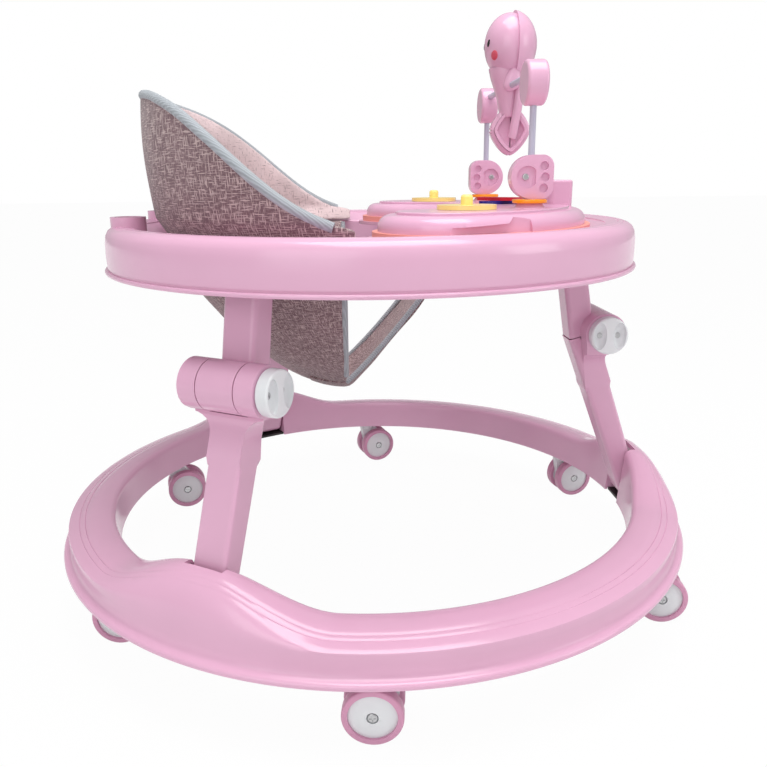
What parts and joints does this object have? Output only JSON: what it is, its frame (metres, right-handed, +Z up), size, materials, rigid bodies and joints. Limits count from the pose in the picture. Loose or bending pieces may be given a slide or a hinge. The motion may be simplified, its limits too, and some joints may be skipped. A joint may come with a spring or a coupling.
{
  "type": "baby walker",
  "caption": "Round baby walker: wheeled base ring, folding legs, ring tray with a toy console and tumbling figure, and a sewn bucket seat.",
  "frame": {"origin": "floor under the middle of the base ring", "axes": "+X to the front where the console is, +Y to the child's left, +Z up"},
  "size_m": [0.68, 0.68, 0.5928],
  "materials": {
    "pink_plastic": "gloss",
    "steel": "satin",
    "white_plastic": "gloss",
    "pink_tyre": "satin",
    "dark_liner": "matte",
    "coral_rubber": "satin",
    "yellow_plastic": "gloss",
    "orange_plastic": "gloss",
    "blue_plastic": "gloss",
    "red_plastic": "gloss",
    "seat_fabric": "woven"
  },
  "bodies": {
    "base": {"base_ring": "pink_plastic", "base_pivot_pins": "steel", "slot_liners": "dark_liner", "caster_sockets": "white_plastic"},
    "caster_1": {"caster_1_hood": "white_plastic", "caster_1_pins": "steel"},
    "caster_1_wheels": {"caster_1_hubs": "white_plastic", "caster_1_tyres": "pink_tyre"},
    "caster_2": {"caster_2_hood": "white_plastic", "caster_2_pins": "steel"},
    "caster_2_wheels": {"caster_2_hubs": "white_plastic", "caster_2_tyres": "pink_tyre"},
    "caster_3": {"caster_3_hood": "white_plastic", "caster_3_pins": "steel"},
    "caster_3_wheels": {"caster_3_hubs": "white_plastic", "caster_3_tyres": "pink_tyre"},
    "caster_4": {"caster_4_hood": "white_plastic", "caster_4_pins": "steel"},
    "caster_4_wheels": {"caster_4_hubs": "white_plastic", "caster_4_tyres": "pink_tyre"},
    "caster_5": {"caster_5_hood": "white_plastic", "caster_5_pins": "steel"},
    "caster_5_wheels": {"caster_5_hubs": "white_plastic", "caster_5_tyres": "pink_tyre"},
    "caster_6": {"caster_6_hood": "white_plastic", "caster_6_pins": "steel"},
    "caster_6_wheels": {"caster_6_hubs": "white_plastic", "caster_6_tyres": "pink_tyre"},
    "lower_leg_front": {"lower_leg_front": "pink_plastic", "knee_pin_front": "steel"},
    "upper_leg_front": {"upper_leg_front": "pink_plastic"},
    "lock_knob_front": {"lock_knob_front": "white_plastic"},
    "lower_leg_left": {"lower_leg_left": "pink_plastic", "knee_pin_left": "steel"},
    "upper_leg_left": {"upper_leg_left": "pink_plastic"},
    "lock_knob_left": {"lock_knob_left": "white_plastic"},
    "lower_leg_right": {"lower_leg_right": "pink_plastic", "knee_pin_right": "steel"},
    "upper_leg_right": {"upper_leg_right": "pink_plastic"},
    "lock_knob_right": {"lock_knob_right": "white_plastic"},
    "tray": {"tray": "pink_plastic", "tray_pivot_pins": "steel", "push_bar_sockets": "pink_plastic", "console_gasket": "coral_rubber", "console": "pink_plastic", "post_collars": "orange_plastic", "post_paws": "pink_plastic", "toy_rods": "white_plastic", "end_blocks": "pink_plastic", "seat_back": "seat_fabric", "seat_sling": "seat_fabric"},
    "dial_left": {"dial_left": "yellow_plastic"},
    "dial_right": {"dial_right": "yellow_plastic"},
    "spinner": {"spinner_blue": "blue_plastic", "spinner_red": "red_plastic"},
    "toy": {"toy_body": "pink_plastic", "toy_face": "pink_plastic", "toy_head_back": "pink_plastic", "toy_foot": "pink_plastic"}
  },
  "joints": [
    {"name": "caster_1_swivel", "type": "hinge", "parent": "base", "child": "caster_1", "pos_m": [0.26674, 0.154, 0.057], "axis": [0, 0, 1], "continuous": true},
    {"name": "caster_1_roll", "type": "hinge", "parent": "caster_1", "child": "caster_1_wheels", "pos_m": [0.28043, 0.15691, 0.025], "axis": [0.2079, -0.9781, 0], "continuous": true},
    {"name": "caster_2_swivel", "type": "hinge", "parent": "base", "child": "caster_2", "pos_m": [0, 0.308, 0.057], "axis": [0, 0, 1], "continuous": true},
    {"name": "caster_2_roll", "type": "hinge", "parent": "caster_2", "child": "caster_2_wheels", "pos_m": [0.01332, 0.31233, 0.025], "axis": [0.309, -0.9511, 0], "continuous": true},
    {"name": "caster_3_swivel", "type": "hinge", "parent": "base", "child": "caster_3", "pos_m": [-0.26674, 0.154, 0.057], "axis": [0, 0, 1], "continuous": true},
    {"name": "caster_3_roll", "type": "hinge", "parent": "caster_3", "child": "caster_3_wheels", "pos_m": [-0.25315, 0.15739, 0.025], "axis": [0.2419, -0.9703, 0], "continuous": true},
    {"name": "caster_4_swivel", "type": "hinge", "parent": "base", "child": "caster_4", "pos_m": [-0.26674, -0.154, 0.057], "axis": [0, 0, 1], "continuous": true},
    {"name": "caster_4_roll", "type": "hinge", "parent": "caster_4", "child": "caster_4_wheels", "pos_m": [-0.25281, -0.15546, 0.025], "axis": [-0.1045, -0.9945, 0], "continuous": true},
    {"name": "caster_5_swivel", "type": "hinge", "parent": "base", "child": "caster_5", "pos_m": [0, -0.308, 0.057], "axis": [0, 0, 1], "continuous": true},
    {"name": "caster_5_roll", "type": "hinge", "parent": "caster_5", "child": "caster_5_wheels", "pos_m": [-0.01392, -0.30654, 0.025], "axis": [0.1045, 0.9945, 0], "continuous": true},
    {"name": "caster_6_swivel", "type": "hinge", "parent": "base", "child": "caster_6", "pos_m": [0.26674, -0.154, 0.057], "axis": [0, 0, 1], "continuous": true},
    {"name": "caster_6_roll", "type": "hinge", "parent": "caster_6", "child": "caster_6_wheels", "pos_m": [0.2806, -0.15595, 0.025], "axis": [-0.1392, -0.9903, 0], "continuous": true},
    {"name": "fold", "type": "hinge", "parent": "base", "child": "lower_leg_front", "pos_m": [0.298, 0, 0.079], "axis": [0, -1, 0], "range_deg": [0, 46], "deforming": ["seat_sling"]},
    {"name": "knee_front", "type": "hinge", "parent": "lower_leg_front", "child": "upper_leg_front", "pos_m": [0.251, 0, 0.267], "axis": [0, -1, 0], "range_deg": [-131.57, 0]},
    {"name": "lock_knob_front_turn", "type": "hinge", "parent": "lower_leg_front", "child": "lock_knob_front", "pos_m": [0.251, 0, 0.267], "axis": [0, -1, 0], "range_deg": [0, 90]},
    {"name": "lower_leg_left_pivot", "type": "hinge", "parent": "base", "child": "lower_leg_left", "pos_m": [-0.149, 0.25808, 0.079], "axis": [0.866, 0.5, 0], "range_deg": [0, 46]},
    {"name": "knee_left", "type": "hinge", "parent": "lower_leg_left", "child": "upper_leg_left", "pos_m": [-0.1255, 0.21737, 0.267], "axis": [0.866, 0.5, 0], "range_deg": [-131.57, 0]},
    {"name": "lock_knob_left_turn", "type": "hinge", "parent": "lower_leg_left", "child": "lock_knob_left", "pos_m": [-0.1255, 0.21737, 0.267], "axis": [0.866, 0.5, 0], "range_deg": [0, 90]},
    {"name": "lower_leg_right_pivot", "type": "hinge", "parent": "base", "child": "lower_leg_right", "pos_m": [-0.149, -0.25808, 0.079], "axis": [-0.866, 0.5, 0], "range_deg": [0, 46]},
    {"name": "knee_right", "type": "hinge", "parent": "lower_leg_right", "child": "upper_leg_right", "pos_m": [-0.1255, -0.21737, 0.267], "axis": [-0.866, 0.5, 0], "range_deg": [-131.57, 0]},
    {"name": "lock_knob_right_turn", "type": "hinge", "parent": "lower_leg_right", "child": "lock_knob_right", "pos_m": [-0.1255, -0.21737, 0.267], "axis": [-0.866, 0.5, 0], "range_deg": [0, 90]},
    {"name": "tray_pivot", "type": "hinge", "parent": "upper_leg_front", "child": "tray", "pos_m": [0.216, 0, 0.356], "axis": [0, -1, 0], "range_deg": [0, 85.57]},
    {"name": "dial_left_turn", "type": "hinge", "parent": "tray", "child": "dial_left", "pos_m": [0.08224, 0.12664, 0.4035], "axis": [0, 0, 1], "continuous": true},
    {"name": "dial_right_turn", "type": "hinge", "parent": "tray", "child": "dial_right", "pos_m": [0.08224, -0.12664, 0.4035], "axis": [0, 0, 1], "continuous": true},
    {"name": "spinner_turn", "type": "hinge", "parent": "tray", "child": "spinner", "pos_m": [0.138, 0, 0.4035], "axis": [0, 0, 1], "continuous": true},
    {"name": "toy_tumble", "type": "hinge", "parent": "tray", "child": "toy", "pos_m": [0.143, 0, 0.5207], "axis": [0, 1, 0], "continuous": true}
  ],
  "couplings": [
    {"joint": "knee_front", "follows": "fold", "ratio": -2.86},
    {"joint": "lower_leg_left_pivot", "follows": "fold", "ratio": 1},
    {"joint": "knee_left", "follows": "fold", "ratio": -2.86},
    {"joint": "lower_leg_right_pivot", "follows": "fold", "ratio": 1},
    {"joint": "knee_right", "follows": "fold", "ratio": -2.86},
    {"joint": "tray_pivot", "follows": "fold", "ratio": 1.86}
  ]
}
